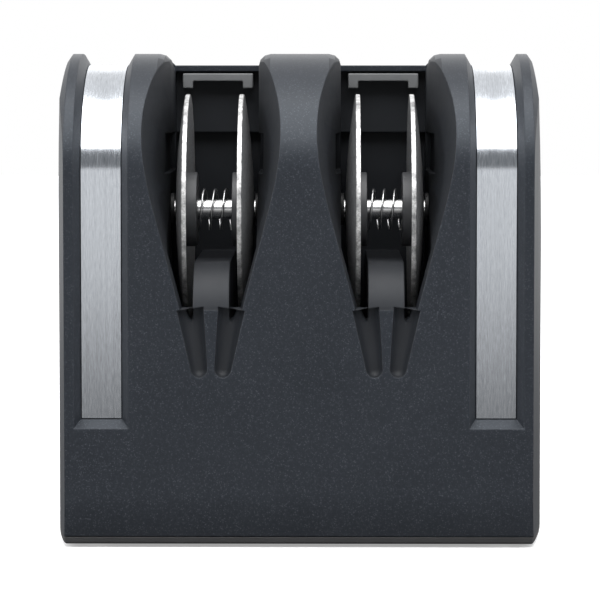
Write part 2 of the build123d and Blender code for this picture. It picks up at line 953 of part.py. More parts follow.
# ---------------------------------------------------------------- filings door
with BuildPart() as filings_door:
    block(
        (-door_half_width, front + door_start, door_low),
        (door_half_width, front + door_end, door_top),
    )
    block(
        (-door_grip_half_length, front + door_grip_start, door_low - door_grip),
        (door_grip_half_length, front + door_grip_start + door_grip_width, door_low),
    )
export(filings_door, "filings_door")

# ---------------------------------------------------------------- chassis
post_spans = []
for side in sides:
    for flank in sides:
        near = side * stage_centre + flank * bearing_inner_face
        post_spans.append(sorted((near, near + flank * bearing_width)))
saddles = [left_saddle_x, right_saddle_x]
strap_radius = can_radius + strap_clearance
ear_start = strap_radius + strap_thickness
ear_screw_at = ear_start + strap_ear / 2

with BuildPart() as chassis:
    block(
        (-deck_half_width, front + deck_start, deck_low),
        (deck_half_width, front + deck_end, deck_top),
    )
    for span in post_spans:
        block(
            (span[0], shaft_y - post_half_depth, deck_low),
            (span[1], shaft_y + post_half_depth, shaft_height + post_above_shaft),
        )
    legs_at = [(side, deck_start) for side in sides] + [(1, rear_leg_start)]
    for side, start in legs_at:
        leg = sorted((side * (leg_outer - leg_width), side * leg_outer))
        block(
            (leg[0], front + start, platform_top),
            (leg[1], front + start + leg_depth, deck_low),
        )
    for x in saddles:
        block(
            (x, motor_y - saddle_half_depth, platform_top),
            (x + saddle_thickness, motor_y + saddle_half_depth, motor_height),
        )
        block(
            (x, motor_y - saddle_half_depth, platform_top),
            (x + saddle_thickness, motor_y - saddle_half_depth + saddle_web, deck_low),
        )
    for side in sides:
        block(
            (side * stage_centre - chute_half_width - chute_wall, front + chute_start - chute_wall,
             platform_top),
            (side * stage_centre + chute_half_width + chute_wall, front + chute_end + chute_wall,
             deck_low),
        )
    for side in sides:
        block(
            (side * stage_centre - chute_half_width, front + chute_start, 0),
            (side * stage_centre + chute_half_width, front + chute_end, far),
            mode=Mode.SUBTRACT,
        )
    block(
        (-belt_slot_half_width, front + belt_slot_start, deck_low - wall),
        (belt_slot_half_width, front + belt_slot_end, deck_top + wall),
        mode=Mode.SUBTRACT,
    )
    for span in post_spans:
        rod(
            (span[0], shaft_y, shaft_height),
            bearing_radius,
            bearing_width,
            "x",
            mode=Mode.SUBTRACT,
        )
    rod((left_saddle_x, motor_y, motor_height), can_radius, can_length, "x", mode=Mode.SUBTRACT)
    for x in saddles:
        for side in sides:
            rod(
                (x + saddle_thickness / 2, motor_y + side * ear_screw_at, motor_height - strap_screw_length),
                strap_screw_radius,
                strap_screw_length,
                "z",
                mode=Mode.SUBTRACT,
            )
export(chassis, "chassis")

with BuildPart() as chute_magnets:
    for side in sides:
        block(
            (side * stage_centre - magnet_bar_half_length, front + chute_end - magnet_bar_thickness,
             magnet_bar_low),
            (side * stage_centre + magnet_bar_half_length, front + chute_end,
             magnet_bar_low + magnet_bar_height),
        )
export(chute_magnets, "chute_magnets")

with BuildPart() as shaft_bearings:
    for span in post_spans:
        rod((span[0], shaft_y, shaft_height), bearing_radius, bearing_width, "x")
        rod(
            (span[0], shaft_y, shaft_height),
            shaft_radius + running_clearance,
            bearing_width,
            "x",
            mode=Mode.SUBTRACT,
        )
export(shaft_bearings, "shaft_bearings")

# ---------------------------------------------------------------- knife guards
for side in sides:
    centre = side * stage_centre
    with BuildPart() as knife_guard:
        block(
            (centre - guard_width / 2, front + chamber_rear - guard_thickness, guard_leg_low),
            (centre + guard_width / 2, front + chamber_rear, guard_top),
        )
        block(
            (centre - guard_width / 2 + guard_leg_width, front, guard_leg_low),
            (centre + guard_width / 2 - guard_leg_width, front + chamber_rear, guard_top - guard_bar),
            mode=Mode.SUBTRACT,
        )
    export(knife_guard, f"knife_guard_{side_names[side]}")

# ---------------------------------------------------------------- grinding shaft and what it carries
shaft_line = (0, shaft_y, shaft_height)
with BuildPart() as drive_shaft:
    rod((-shaft_half_length, shaft_y, shaft_height), shaft_radius, 2 * shaft_half_length, "x")
    chamfer(drive_shaft.edges().filter_by(GeomType.CIRCLE), length=0.4)
export(drive_shaft, "drive_shaft")


def pulley(place, radius, bore, rib):
    """Flat-belt pulley with two flanges, its sides hollowed between the hub and the rim by rib."""
    x, y, z = place
    left = x - pulley_width / 2
    right = x + pulley_width / 2
    with BuildPart() as wheel:
        rod((left, y, z), radius, pulley_width, "x")
        for start in (left, right - pulley_flange):
            rod((start, y, z), radius + pulley_flange_height, pulley_flange, "x")
        if rib:
            for start in (left, right - rib):
                rod((start, y, z), radius - rib, rib, "x", mode=Mode.SUBTRACT)
            rod((left, y, z), bore + 1.5 * rib, pulley_width, "x")
        rod((left, y, z), bore, pulley_width, "x", mode=Mode.SUBTRACT)
    return wheel


shaft_pulley = pulley(shaft_line, shaft_pulley_radius, shaft_radius, 2.0)
export(shaft_pulley, "shaft_pulley")

with BuildPart() as shaft_spacers:
    for side in sides:
        for flank in sides:
            ends = sorted(
                side * stage_centre + flank * reach
                for reach in (hub_outer_face + end_clearance, bearing_inner_face - end_clearance)
            )
            rod((ends[0], shaft_y, shaft_height), spacer_radius, ends[1] - ends[0], "x")
    rod(
        (-far, shaft_y, shaft_height), shaft_radius, 2 * far, "x", mode=Mode.SUBTRACT
    )
export(shaft_spacers, "shaft_spacers")

clip_face = stage_centre + bearing_inner_face + bearing_width + end_clearance
with BuildPart() as shaft_clips:
    for side in sides:
        ends = sorted((side * clip_face, side * (clip_face + clip_thickness)))
        rod((ends[0], shaft_y, shaft_height), clip_radius, clip_thickness, "x")
        rod((ends[0], shaft_y, shaft_height), shaft_radius, clip_thickness, "x", mode=Mode.SUBTRACT)
        block(
            (ends[0], shaft_y - shaft_radius / 2, shaft_height - clip_radius),
            (ends[1], shaft_y + shaft_radius / 2, shaft_height),
            mode=Mode.SUBTRACT,
        )
export(shaft_clips, "shaft_clips")

spring_length = 2 * (hub_inner_face - spring_wire / 2 - running_clearance)
for side in sides:
    start = (side * stage_centre - spring_length / 2, shaft_y, shaft_height)
    with BuildPart() as disc_spring:
        with BuildLine() as coil:
            Helix(
                pitch=spring_length / spring_turns,
                height=spring_length,
                radius=spring_radius,
                center=start,
                direction=(1, 0, 0),
            )
        with BuildSketch(Plane(origin=coil.line @ 0, z_dir=coil.line % 0)):
            Circle(spring_wire / 2)
        sweep()
    export(disc_spring, f"disc_spring_{side_names[side]}")

# ---------------------------------------------------------------- discs and their hubs
for side in sides:
    for flank in sides:
        number = (3 + 2 * side + flank) // 2 + 1
        centre = side * stage_centre
        # seen in the plane of the shaft: distance from the stage's centre, then radius
        axis_plane = Plane(origin=(centre, shaft_y, shaft_height), x_dir=(flank, 0, 0), z_dir=(0, -1, 0))
        middle = disc_rim_face + disc_dome
        half_chord = disc_radius / 2
        sag = disc_rim_face + disc_dome * (1 - (half_chord / disc_radius) ** 2)
        with BuildPart() as grinding_disc:
            with BuildSketch(axis_plane):
                with BuildLine():
                    ThreePointArc((disc_rim_face, disc_radius), (sag, half_chord), (middle, 0))
                    ThreePointArc(
                        (disc_rim_face + disc_rim, disc_radius),
                        (sag + disc_rim, half_chord),
                        (middle + disc_rim, 0),
                    )
                    Line((disc_rim_face, disc_radius), (disc_rim_face + disc_rim, disc_radius))
                    Line((middle, 0), (middle + disc_rim, 0))
                make_face()
            revolve(axis=Axis(shaft_line, (1, 0, 0)))
            rod(
                (centre - far, shaft_y, shaft_height),
                hub_sleeve_radius,
                2 * far,
                "x",
                mode=Mode.SUBTRACT,
            )
        export(grinding_disc, f"grinding_disc_{number}")
        faces_at = sorted(centre + flank * reach for reach in (hub_inner_face, middle + disc_rim / 2))
        sleeve_at = sorted(centre + flank * reach for reach in (hub_inner_face, hub_outer_face))
        with BuildPart() as disc_hub:
            rod(
                (faces_at[0], shaft_y, shaft_height), hub_radius, faces_at[1] - faces_at[0], "x"
            )
            add(grinding_disc.part, mode=Mode.SUBTRACT)
            rod(
                (sleeve_at[0], shaft_y, shaft_height),
                hub_sleeve_radius,
                sleeve_at[1] - sleeve_at[0],
                "x",
            )
            rod(
                (sleeve_at[0], shaft_y, shaft_height),
                shaft_radius + running_clearance,
                sleeve_at[1] - sleeve_at[0],
                "x",
                mode=Mode.SUBTRACT,
            )
        export(disc_hub, f"disc_hub_{number}")

# ---------------------------------------------------------------- motor, fixed parts
cap_face = can_right_end
boss_face = cap_face + end_cap_thickness
boss_end = boss_face + end_cap_boss
commutator_left = armature_left + armature_length + winding_length
brush_start = commutator_left + (commutator_length - brush_size) / 2
can_inner = can_radius - can_wall

with BuildPart() as motor_can:
    rod((can_left_end, motor_y, motor_height), can_radius, can_length, "x")
    fillet(motor_can.edges().group_by(Axis.X)[0], radius=can_wall)
    rod((can_left_end - end_cap_boss, motor_y, motor_height), end_cap_boss_radius, end_cap_boss, "x")
    rod(
        (can_left_end + can_wall, motor_y, motor_height),
        can_inner,
        can_length,
        "x",
        mode=Mode.SUBTRACT,
    )
    rod(
        (can_left_end - end_cap_boss, motor_y, motor_height),
        bush_radius,
        can_length,
        "x",
        mode=Mode.SUBTRACT,
    )
export(motor_can, "motor_can")

with BuildPart() as motor_end_cap:
    rod((cap_face, motor_y, motor_height), can_radius, end_cap_thickness, "x")
    rod((boss_face, motor_y, motor_height), end_cap_boss_radius, end_cap_boss, "x")
    sleeve = brush_size / 2 + brush_clearance + sleeve_wall
    brush_z = motor_height
    for side in sides:
        span = sorted(
            motor_y + side * reach
            for reach in (commutator_radius + 2 * sleeve_wall, commutator_radius + brush_length)
        )
        block(
            (brush_start - sleeve_wall, span[0], brush_z - sleeve),
            (cap_face, span[1], brush_z + sleeve),
        )
        block(
            (brush_start - brush_clearance, span[0] - wall, brush_z - sleeve + sleeve_wall),
            (
                brush_start + brush_size + brush_clearance,
                span[1] + wall,
                brush_z + sleeve - sleeve_wall,
            ),
            mode=Mode.SUBTRACT,
        )
    rod((cap_face, motor_y, motor_height), bush_radius, can_length, "x", mode=Mode.SUBTRACT)
export(motor_end_cap, "motor_end_cap")

with BuildPart() as motor_magnets:
    for side in sides:
        with BuildSketch(Plane.YZ.offset(armature_left - magnet_overlap)):
            with Locations((motor_y, motor_height)):
                Circle(can_inner)
                Circle(can_inner - magnet_thickness, mode=Mode.SUBTRACT)
                wedge = can_radius / cos(radians(magnet_angle / 2))
                with BuildLine():
                    Polyline(
                        (motor_y, motor_height),
                        (
                            motor_y + wedge * sin(radians(magnet_angle / 2)),
                            motor_height + side * can_radius,
                        ),
                        (
                            motor_y - wedge * sin(radians(magnet_angle / 2)),
                            motor_height + side * can_radius,
                        ),
                        close=True,
                    )
                make_face(mode=Mode.INTERSECT)
        extrude(amount=armature_length + 2 * magnet_overlap)
export(motor_magnets, "motor_magnets")

bush_starts = [can_left_end - end_cap_boss, boss_end - bush_length]
with BuildPart() as motor_bushes:
    for start in bush_starts:
        rod((start, motor_y, motor_height), bush_radius, bush_length, "x")
        rod(
            (start, motor_y, motor_height),
            motor_shaft_radius + running_clearance,
            bush_length,
            "x",
            mode=Mode.SUBTRACT,
        )
export(motor_bushes, "motor_bushes")

with BuildPart() as carbon_brushes:
    for side in sides:
        span = sorted(
            motor_y + side * reach
            for reach in (commutator_radius + running_clearance, commutator_radius + brush_length)
        )
        block(
            (brush_start, span[0], motor_height - brush_size / 2),
            (brush_start + brush_size, span[1], motor_height + brush_size / 2),
        )
export(carbon_brushes, "carbon_brushes")

with BuildPart() as motor_straps:
    for x in saddles:
        with BuildSketch(Plane.YZ.offset(x + strap_inset)):
            with Locations((motor_y, motor_height)):
                Circle(ear_start)
                Circle(strap_radius, mode=Mode.SUBTRACT)
                Rectangle(2 * far, far, align=(Align.CENTER, Align.MAX), mode=Mode.SUBTRACT)
            for side in sides:
                with Locations((motor_y + side * (ear_start - strap_clearance), motor_height)):
                    Rectangle(
                        strap_ear,
                        strap_thickness,
                        align=(Align.MIN if side > 0 else Align.MAX, Align.MIN),
                    )
        extrude(amount=saddle_thickness - 2 * strap_inset)
        for side in sides:
            rod(
                (x + saddle_thickness / 2, motor_y + side * ear_screw_at, motor_height),
                strap_screw_radius + strap_clearance,
                strap_thickness,
                "z",
                mode=Mode.SUBTRACT,
            )
export(motor_straps, "motor_straps")

with BuildPart() as strap_screws:
    for x in saddles:
        for side in sides:
            place = (x + saddle_thickness / 2, motor_y + side * ear_screw_at)
            ear_top = motor_height + strap_thickness
            rod((*place, ear_top), strap_screw_head_radius, strap_screw_head, "z")
            rod(
                (*place, ear_top - strap_screw_length),
                strap_screw_radius,
                strap_screw_length,
                "z",
            )
            with Locations((*place, ear_top + strap_screw_head)):
                for turn in (0, 90):
                    Box(
                        strap_screw_head_radius,
                        strap_screw_head_radius / 4,
                        strap_screw_head,
                        rotation=(0, 0, turn),
                        mode=Mode.SUBTRACT,
                    )
export(strap_screws, "strap_screws")

# ---------------------------------------------------------------- motor, turning parts
fan_left = pulley_width / 2 + fan_gap
rotor_left = bush_starts[0] + end_clearance
with BuildPart() as motor_shaft:
    rod(
        (rotor_left, motor_y, motor_height),
        motor_shaft_radius,
        fan_left + fan_width + 1 - rotor_left,
        "x",
    )
export(motor_shaft, "motor_shaft")

with BuildPart() as armature:
    rod((armature_left, motor_y, motor_height), armature_radius, armature_length, "x")
    with BuildSketch(Plane.YZ.offset(armature_left)):
        with Locations((motor_y, motor_height)):
            with PolarLocations(armature_radius, armature_slots):
                Rectangle(2 * armature_slot_deep, armature_slot_width)
    extrude(amount=armature_length, mode=Mode.SUBTRACT)
    rod(
        (armature_left, motor_y, motor_height),
        motor_shaft_radius,
        armature_length,
        "x",
        mode=Mode.SUBTRACT,
    )
export(armature, "armature")

with BuildPart() as armature_windings:
    for start in (armature_left - winding_length, armature_left + armature_length):
        rod((start, motor_y, motor_height), winding_radius, winding_length, "x")
    fillet(armature_windings.edges().filter_by(GeomType.CIRCLE), radius=winding_length / 3)
    rod(
        (armature_left - winding_length, motor_y, motor_height),
        motor_shaft_radius,
        armature_length + 2 * winding_length,
        "x",
        mode=Mode.SUBTRACT,
    )
export(armature_windings, "armature_windings")

with BuildPart() as commutator:
    rod((commutator_left, motor_y, motor_height), commutator_radius, commutator_length, "x")
    rod(
        (commutator_left, motor_y, motor_height),
        motor_shaft_radius,
        commutator_length,
        "x",
        mode=Mode.SUBTRACT,
    )
export(commutator, "commutator")

motor_pulley = pulley((0, motor_y, motor_height), motor_pulley_radius, motor_shaft_radius, 0)
export(motor_pulley, "motor_pulley")

with BuildPart() as cooling_fan:
    rod((fan_left, motor_y, motor_height), fan_radius, fan_disc, "x")
    rod((fan_left, motor_y, motor_height), fan_hub_radius, fan_width, "x")
    with BuildSketch(Plane.YZ.offset(fan_left)):
        with Locations((motor_y, motor_height)):
            with PolarLocations((fan_radius + fan_hub_radius) / 2 - fan_disc / 2, fan_blades):
                Rectangle(fan_radius - fan_hub_radius, fan_blade_thickness)
    extrude(amount=fan_width)
    rod((fan_left, motor_y, motor_height), motor_shaft_radius, fan_width, "x", mode=Mode.SUBTRACT)
export(cooling_fan, "cooling_fan")

# ---------------------------------------------------------------- belt
with BuildPart() as drive_belt:
    for grow, mode in ((belt_clearance + belt_thickness, Mode.ADD), (belt_clearance, Mode.SUBTRACT)):
        with BuildSketch(Plane.YZ.offset(-belt_width / 2)):
            with Locations((shaft_y, shaft_height)):
                Circle(shaft_pulley_radius + grow)
            with Locations((motor_y, motor_height)):
                Circle(motor_pulley_radius + grow)
            make_hull()
        extrude(amount=belt_width, mode=mode)
export(drive_belt, "drive_belt")

# ---------------------------------------------------------------- control board
board_low = platform_top + board_standoff
board_top = board_low + board_thickness
board_y = front + board_centre_depth
with BuildPart() as control_board:
    block(
        (board_x - board_length / 2, board_y - board_depth / 2, board_low),
        (board_x + board_length / 2, board_y + board_depth / 2, board_top),
    )
export(control_board, "control_board")

board_left = board_x - board_length / 2
board_front = board_y - board_depth / 2
part_gap = 1.5
with BuildPart() as capacitor:
    rod(
        (board_left + capacitor_radius, board_front + capacitor_radius + part_gap, board_top),
        capacitor_radius,
        capacitor_height,
        "z",
    )
    fillet(capacitor.edges().group_by(Axis.Z)[-1], radius=part_gap)
export(capacitor, "capacitor")

with BuildPart() as rectifier:
    block(
        (board_left + board_length - rectifier_size, board_front + part_gap, board_top),
        (board_left + board_length, board_front + part_gap + rectifier_size, board_top + rectifier_height),
    )
    chamfer(rectifier.edges().filter_by(Axis.Z)[0], length=part_gap)
export(rectifier, "rectifier")

choke_y = board_front + 2 * capacitor_radius + 2 * part_gap + choke_radius
with BuildPart() as choke:
    rod((board_x, choke_y, board_top), choke_radius, choke_height, "z")
    fillet(choke.edges().filter_by(GeomType.CIRCLE), radius=choke_height / 4)
    rod((board_x, choke_y, board_top), choke_hole_radius, choke_height, "z", mode=Mode.SUBTRACT)
export(choke, "choke")

terminal_y = board_y + board_depth / 2 - terminal_depth
with BuildPart() as terminal_block:
    block(
        (board_x - terminal_length / 2, terminal_y, board_top),
        (board_x + terminal_length / 2, terminal_y + terminal_depth, board_top + terminal_height),
    )
    with Locations((board_x, terminal_y + terminal_depth / 2, board_top + terminal_height)):
        with GridLocations(terminal_length / 3, 0, 3, 1):
            Cylinder(part_gap, 2 * part_gap, mode=Mode.SUBTRACT)
export(terminal_block, "terminal_block")

# ---------------------------------------------------------------- switch and cord inlet
pivot = (switch_x, rear - rocker_pivot_deep, switch_height)
with BuildPart() as switch_housing:
    block(
        (switch_x - switch_width / 2, rear - switch_body_depth, switch_height - switch_tall / 2),
        (switch_x + switch_width / 2, rear, switch_height + switch_tall / 2),
    )
    block(
        (
            switch_x - switch_width / 2 - switch_bezel,
            rear,
            switch_height - switch_tall / 2 - switch_bezel,
        ),
        (
            switch_x + switch_width / 2 + switch_bezel,
            rear + switch_bezel_thickness,
            switch_height + switch_tall / 2 + switch_bezel,
        ),
    )
    chamfer(faces().sort_by(Axis.Y)[-1].edges(), length=switch_bezel_thickness / 2)
    block(
        (
            switch_x - rocker_half_width - rocker_gap,
            pivot[1] - rocker_cavity_deep,
            switch_height - rocker_cavity_half_height,
        ),
        (
            switch_x + rocker_half_width + rocker_gap,
            rear + switch_bezel_thickness,
            switch_height + rocker_cavity_half_height,
        ),
        mode=Mode.SUBTRACT,
    )
    rod(
        (switch_x - switch_width / 2, pivot[1], pivot[2]),
        rocker_pin_radius + running_clearance,
        switch_width,
        "x",
        mode=Mode.SUBTRACT,
    )
export(switch_housing, "switch_housing")

rocker_rise = rocker_half_height * tan(radians(rocker_angle))
with BuildSketch(Plane.YZ.offset(switch_x - rocker_half_width)) as rocker_side:
    with BuildLine():
        Polyline(
            (pivot[1] + rocker_proud, pivot[2]),
            (pivot[1] + rocker_proud + rocker_rise, pivot[2] + rocker_half_height),
            (pivot[1] - rocker_deep, pivot[2] + rocker_half_height),
            (pivot[1] - rocker_deep, pivot[2] - rocker_half_height),
            (pivot[1] + rocker_proud + rocker_rise, pivot[2] - rocker_half_height),
            close=True,
        )
    make_face()
level_rocker = extrude(rocker_side.sketch, amount=2 * rocker_half_width, dir=(1, 0, 0))
tipped_rocker = level_rocker.rotate(Axis(pivot, (1, 0, 0)), -rocker_angle)
with BuildPart() as switch_rocker:
    add(tipped_rocker)
    rod(
        (switch_x - rocker_half_width - rocker_pin_length, pivot[1], pivot[2]),
        rocker_pin_radius,
        2 * (rocker_half_width + rocker_pin_length),
        "x",
    )
export(switch_rocker, "switch_rocker")

with BuildPart() as cord_inlet:
    rod((inlet_x, rear, inlet_height), inlet_radius + inlet_flange, inlet_flange_thickness, "y")
    chamfer(cord_inlet.edges().group_by(Axis.Y)[-1], length=inlet_flange_thickness / 4)
    rod(
        (inlet_x, rear - wall - inlet_tail, inlet_height),
        inlet_radius,
        wall + inlet_tail + rear_proud,
        "y",
    )
    rod(
        (inlet_x, rear - wall - inlet_tail, inlet_height),
        inlet_bore,
        wall + inlet_tail + rear_proud,
        "y",
        mode=Mode.SUBTRACT,
    )
export(cord_inlet, "cord_inlet")
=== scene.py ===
import json
import math

import bmesh
import bpy
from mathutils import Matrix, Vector


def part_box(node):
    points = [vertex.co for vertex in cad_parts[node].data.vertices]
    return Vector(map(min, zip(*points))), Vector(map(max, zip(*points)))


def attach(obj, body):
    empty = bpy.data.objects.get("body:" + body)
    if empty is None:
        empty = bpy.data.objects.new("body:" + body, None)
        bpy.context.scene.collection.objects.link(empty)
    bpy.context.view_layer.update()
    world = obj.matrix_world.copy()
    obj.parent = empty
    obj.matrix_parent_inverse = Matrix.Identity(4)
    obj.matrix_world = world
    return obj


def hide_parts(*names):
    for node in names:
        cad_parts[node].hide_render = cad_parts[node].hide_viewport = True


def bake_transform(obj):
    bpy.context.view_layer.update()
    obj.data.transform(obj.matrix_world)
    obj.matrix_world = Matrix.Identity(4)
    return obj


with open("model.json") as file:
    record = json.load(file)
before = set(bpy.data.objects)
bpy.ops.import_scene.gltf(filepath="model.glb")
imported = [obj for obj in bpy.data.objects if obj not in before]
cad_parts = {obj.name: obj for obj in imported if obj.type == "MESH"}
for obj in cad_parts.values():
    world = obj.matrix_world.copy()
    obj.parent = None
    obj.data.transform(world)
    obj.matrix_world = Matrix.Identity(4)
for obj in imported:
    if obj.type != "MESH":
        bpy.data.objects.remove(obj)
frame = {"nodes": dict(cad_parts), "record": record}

scene = bpy.context.scene
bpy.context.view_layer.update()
MM = 0.001

# ------------------------------------------------------------ places, read from the frame, m
cover_low, cover_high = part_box("front_cover")
FRONT = cover_low.y               # front face of the body
SPLIT_Y = cover_high.y            # seam between the front and the rear cover
APEX_Z = cover_high.z             # top of the arch
hub_face_near, hub_face_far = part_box("disc_hub_3")[1].x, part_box("disc_hub_4")[0].x
STAGE_X = (hub_face_near + hub_face_far) / 2    # middle of a sharpening stage
HUB_GAP = hub_face_far - hub_face_near
joints = {joint["name"]: joint for joint in frame["record"]["behaviour"]["joints"]}
SHAFT_Y, SHAFT_Z = joints["shaft_spin"]["pos_m"][1:]

# ------------------------------------------------------------ outline of the body, m
ARCH_START_Z = 98.0 * MM          # the front face starts to arch back here
ARCH_DEPTH = 40.0 * MM            # from the front face to the apex
FRONT_ARC = 26.0 * MM             # radius of the arch's first arc
REAR_ARC = 90.0 * MM              # radius behind the apex

# ------------------------------------------------------------ reach of the guide plastic in a stage, m
GUIDE_HALF_WIDTH = 19.9 * MM
GUIDE_LOW_Z = 43.0 * MM           # at the tips of the relief grooves
GUIDE_SKIN = 0.12 * MM            # a face nearer to the front surface than this is outer skin
GUIDE_TOP_SKIN = 1.3 * MM         # and so is one this near to the top
GUIDE_SEAM_GAP = 0.5 * MM         # the seam's edge stays outer plastic

# ------------------------------------------------------------ edges of the moulded pieces
ROUNDED_FROM, SHARP_FROM = math.radians(28.0), math.radians(32.0)

# ------------------------------------------------------------ discs and springs, m
WORN_RIM_RADIUS, WORN_RIM_BLUR = 30.1 * MM, 0.5 * MM
SPRING_RADIUS, SPRING_WIRE, SPRING_TURNS = 5.4 * MM, 0.6 * MM, 3.0
SPRING_END_CLEARANCE = 0.05 * MM
SPRING_LENGTH = HUB_GAP - SPRING_WIRE - 2 * SPRING_END_CLEARANCE    # between the end coils' middles


# ------------------------------------------------------------ shader maths
class Sock:
    """A shader socket that can be used in Python sums."""

    def __init__(self, make, out):
        self.make, self.out = make, out

    def _math(self, operation, a, b):
        return self.make.value("ShaderNodeMath", {"operation": operation}, {0: a, 1: b})

    def __add__(self, other):
        return self._math("ADD", self, other)

    def __radd__(self, other):
        return self._math("ADD", other, self)

    def __sub__(self, other):
        return self._math("SUBTRACT", self, other)

    def __mul__(self, other):
        return self._math("MULTIPLY", self, other)

    def power(self, exponent):
        return self._math("POWER", self, exponent)

    def above(self, limit, soft):
        """0 below limit, 1 above limit + soft."""
        ramp = {"From Min": limit, "From Max": limit + soft, "Value": self}
        return self.make.value("ShaderNodeMapRange", {"clamp": True}, ramp)

    def largest(self, other):
        return self._math("MAXIMUM", self, other)


class Finish:
    """One material, built node by node."""

    def __init__(self, name, color, roughness, metallic=0.0, specular=0.5, coat=0.0):
        self.material = bpy.data.materials.new(name)
        self.material.use_nodes = True
        self.tree = self.material.node_tree
        self.shader = self.tree.nodes["Principled BSDF"]
        self.put("Base Color", (*color, 1.0))
        self.put("Roughness", roughness)
        self.put("Metallic", metallic)
        self.put("Specular IOR Level", specular)
        self.put("Coat Weight", coat)
        self.material.diffuse_color = (*color, 1.0)
        self._object = None

    def node(self, kind, settings, sockets):
        made = self.tree.nodes.new(kind)
        for key, setting in settings.items():
            setattr(made, key, setting)
        for key, what in sockets.items():
            self.plug(made.inputs[key], what)
        return made

    def plug(self, socket, what):
        """Links a Sock to the socket, or sets a plain value on it."""
        if isinstance(what, Sock):
            self.tree.links.new(what.out, socket)
        else:
            socket.default_value = what

    def value(self, kind, settings, sockets, out=0):
        """Adds a node and gives one of its outputs."""
        return Sock(self, self.node(kind, settings, sockets).outputs[out])

    def put(self, socket, what):
        self.plug(self.shader.inputs[socket], what)

    def place(self):
        """The piece's own coordinates, m."""
        if self._object is None:
            self._object = Sock(self, self.node("ShaderNodeTexCoord", {}, {}).outputs["Object"])
        return self._object

    def axes(self):
        split = self.node("ShaderNodeSeparateXYZ", {}, {0: self.place()})
        return [Sock(self, split.outputs[n]) for n in range(3)]

    def noise(self, per_metre, detail=2.0, rough=0.5, stretch=(1.0, 1.0, 1.0), seed=0.0):
        """Noise, 0 to 1, with per_metre waves to the metre, drawn out along an axis by stretch."""
        spread = self.value(
            "ShaderNodeVectorMath",
            {"operation": "MULTIPLY"},
            {0: self.place(), 1: tuple(per_metre / s for s in stretch)},
        )
        return self.value(
            "ShaderNodeTexNoise",
            {"noise_dimensions": "4D"},
            {"Vector": spread, "W": seed, "Scale": 1.0, "Detail": detail, "Roughness": rough},
        )

    def cell_shade(self, per_metre):
        """One random grey per cell."""
        color = self.value("ShaderNodeTexVoronoi", {}, {"Vector": self.place(), "Scale": per_metre}, 1)
        split = self.node("ShaderNodeSeparateColor", {}, {0: color})
        return Sock(self, split.outputs[0])

    def mix(self, factor, a, b):
        made = self.node("ShaderNodeMix", {"data_type": "RGBA"}, {"Factor": factor})
        for name, what in (("A", a), ("B", b)):
            socket = [s for s in made.inputs if s.name == name and s.type == "RGBA"][0]
            self.plug(socket, what if isinstance(what, Sock) else (*what, 1.0))
        return Sock(self, [s for s in made.outputs if s.type == "RGBA"][0])

    def light_path(self, kind):
        """1 for rays of that kind, such as Is Camera Ray, and 0 for the rest."""
        return self.value("ShaderNodeLightPath", {}, {}, kind)

    def glow(self, strength, color=(1.0, 1.0, 1.0)):
        """Emission shader, for the stage alone."""
        return self.value("ShaderNodeEmission", {}, {"Color": (*color, 1.0), "Strength": strength})

    def show(self, shader):
        """Puts another shader on the surface in place of the Principled one."""
        self.plug(self.tree.nodes["Material Output"].inputs["Surface"], shader)

    def rounded(self, radius):
        """Normal that turns softly over an edge, as a moulded or filed edge does."""
        return self.value("ShaderNodeBevel", {"samples": 6}, {"Radius": radius})

    def bump(self, height, strength, distance, normal=None):
        """Normal of a surface that rises by up to distance, m, where height is 1."""
        sockets = {"Height": height, "Strength": strength, "Distance": distance}
        if normal is not None:
            sockets["Normal"] = normal
        return self.value("ShaderNodeBump", {}, sockets)


# ------------------------------------------------------------ finishes
def sparkle_plastic():
    """Anthracite plastic with a fine spark-eroded grain; its small bright flecks are painted glints,
    lighter colour where the grain would catch the light.
    """
    f = Finish("anthracite_grain", (0.010, 0.0120, 0.016), 0.42, specular=0.34)
    f.put("Specular Tint", (0.86, 0.93, 1.0, 1.0))
    grain = f.noise(3400, rough=0.6)
    mottle = f.noise(1900, rough=0.7, seed=5.0)
    cloud = f.noise(60, seed=3.0)
    # painted glints: tiny cells lightened in the base colour, standing in for light caught by the grain
    painted_glint = f.cell_shade(4600).above(0.93, 0.03)
    shade = f.mix(cloud * 0.4 + mottle * 0.6, (0.0060, 0.0075, 0.0105), (0.0170, 0.0195, 0.0250))
    shade = f.mix(mottle.above(0.56, 0.14) * 0.5, shade, (0.032, 0.036, 0.044))
    # the painted glints lighten the colour here
    shade = f.mix(painted_glint * 0.40, shade, (0.075, 0.082, 0.096))
    f.put("Base Color", shade)
    f.put("Roughness", 0.32 + grain * 0.12 + mottle * 0.10)
    f.put("Normal", f.bump(grain * 0.5 + mottle * 0.5, 0.30, 0.12 * MM, f.rounded(0.5 * MM)))
    return f.material


def smooth_plastic(name, low, high, rough, bump=0.06, edge=0.3 * MM, specular=0.5):
    """Satin moulded plastic: faint flow clouds, a fine orange peel and rubbed patches."""
    f = Finish(name, low, rough, specular=specular)
    cloud = f.noise(90, detail=3.0, seed=1.0)
    peel = f.noise(1500, detail=1.0, seed=5.0)
    rub = f.noise(220, detail=3.0, rough=0.7, seed=9.0)
    f.put("Base Color", f.mix(cloud, low, high))
    f.put("Roughness", (rough - 0.06) + rub * 0.14)
    f.put("Normal", f.bump(peel, bump, 0.1 * MM, f.rounded(edge)))
    return f.material


def brushed_steel():
    """Stainless strip with long brush lines along it."""
    f = Finish("brushed_stainless", (0.60, 0.605, 0.615), 0.20, metallic=1.0)
    f.put("Anisotropic", 0.7)
    lines = f.noise(5200, rough=0.6, stretch=(1.0, 14.0, 14.0))
    wide = f.noise(1500, stretch=(1.0, 60.0, 60.0), seed=4.0)
    cloud = f.noise(70, seed=2.0)
    f.put("Base Color", f.mix(lines * 0.7 + wide * 0.3, (0.27, 0.285, 0.31), (0.86, 0.90, 0.955)))
    f.put("Roughness", 0.13 + lines * 0.12 + cloud * 0.04)
    f.put("Normal", f.bump(lines, 0.10, 0.04 * MM))
    return f.material


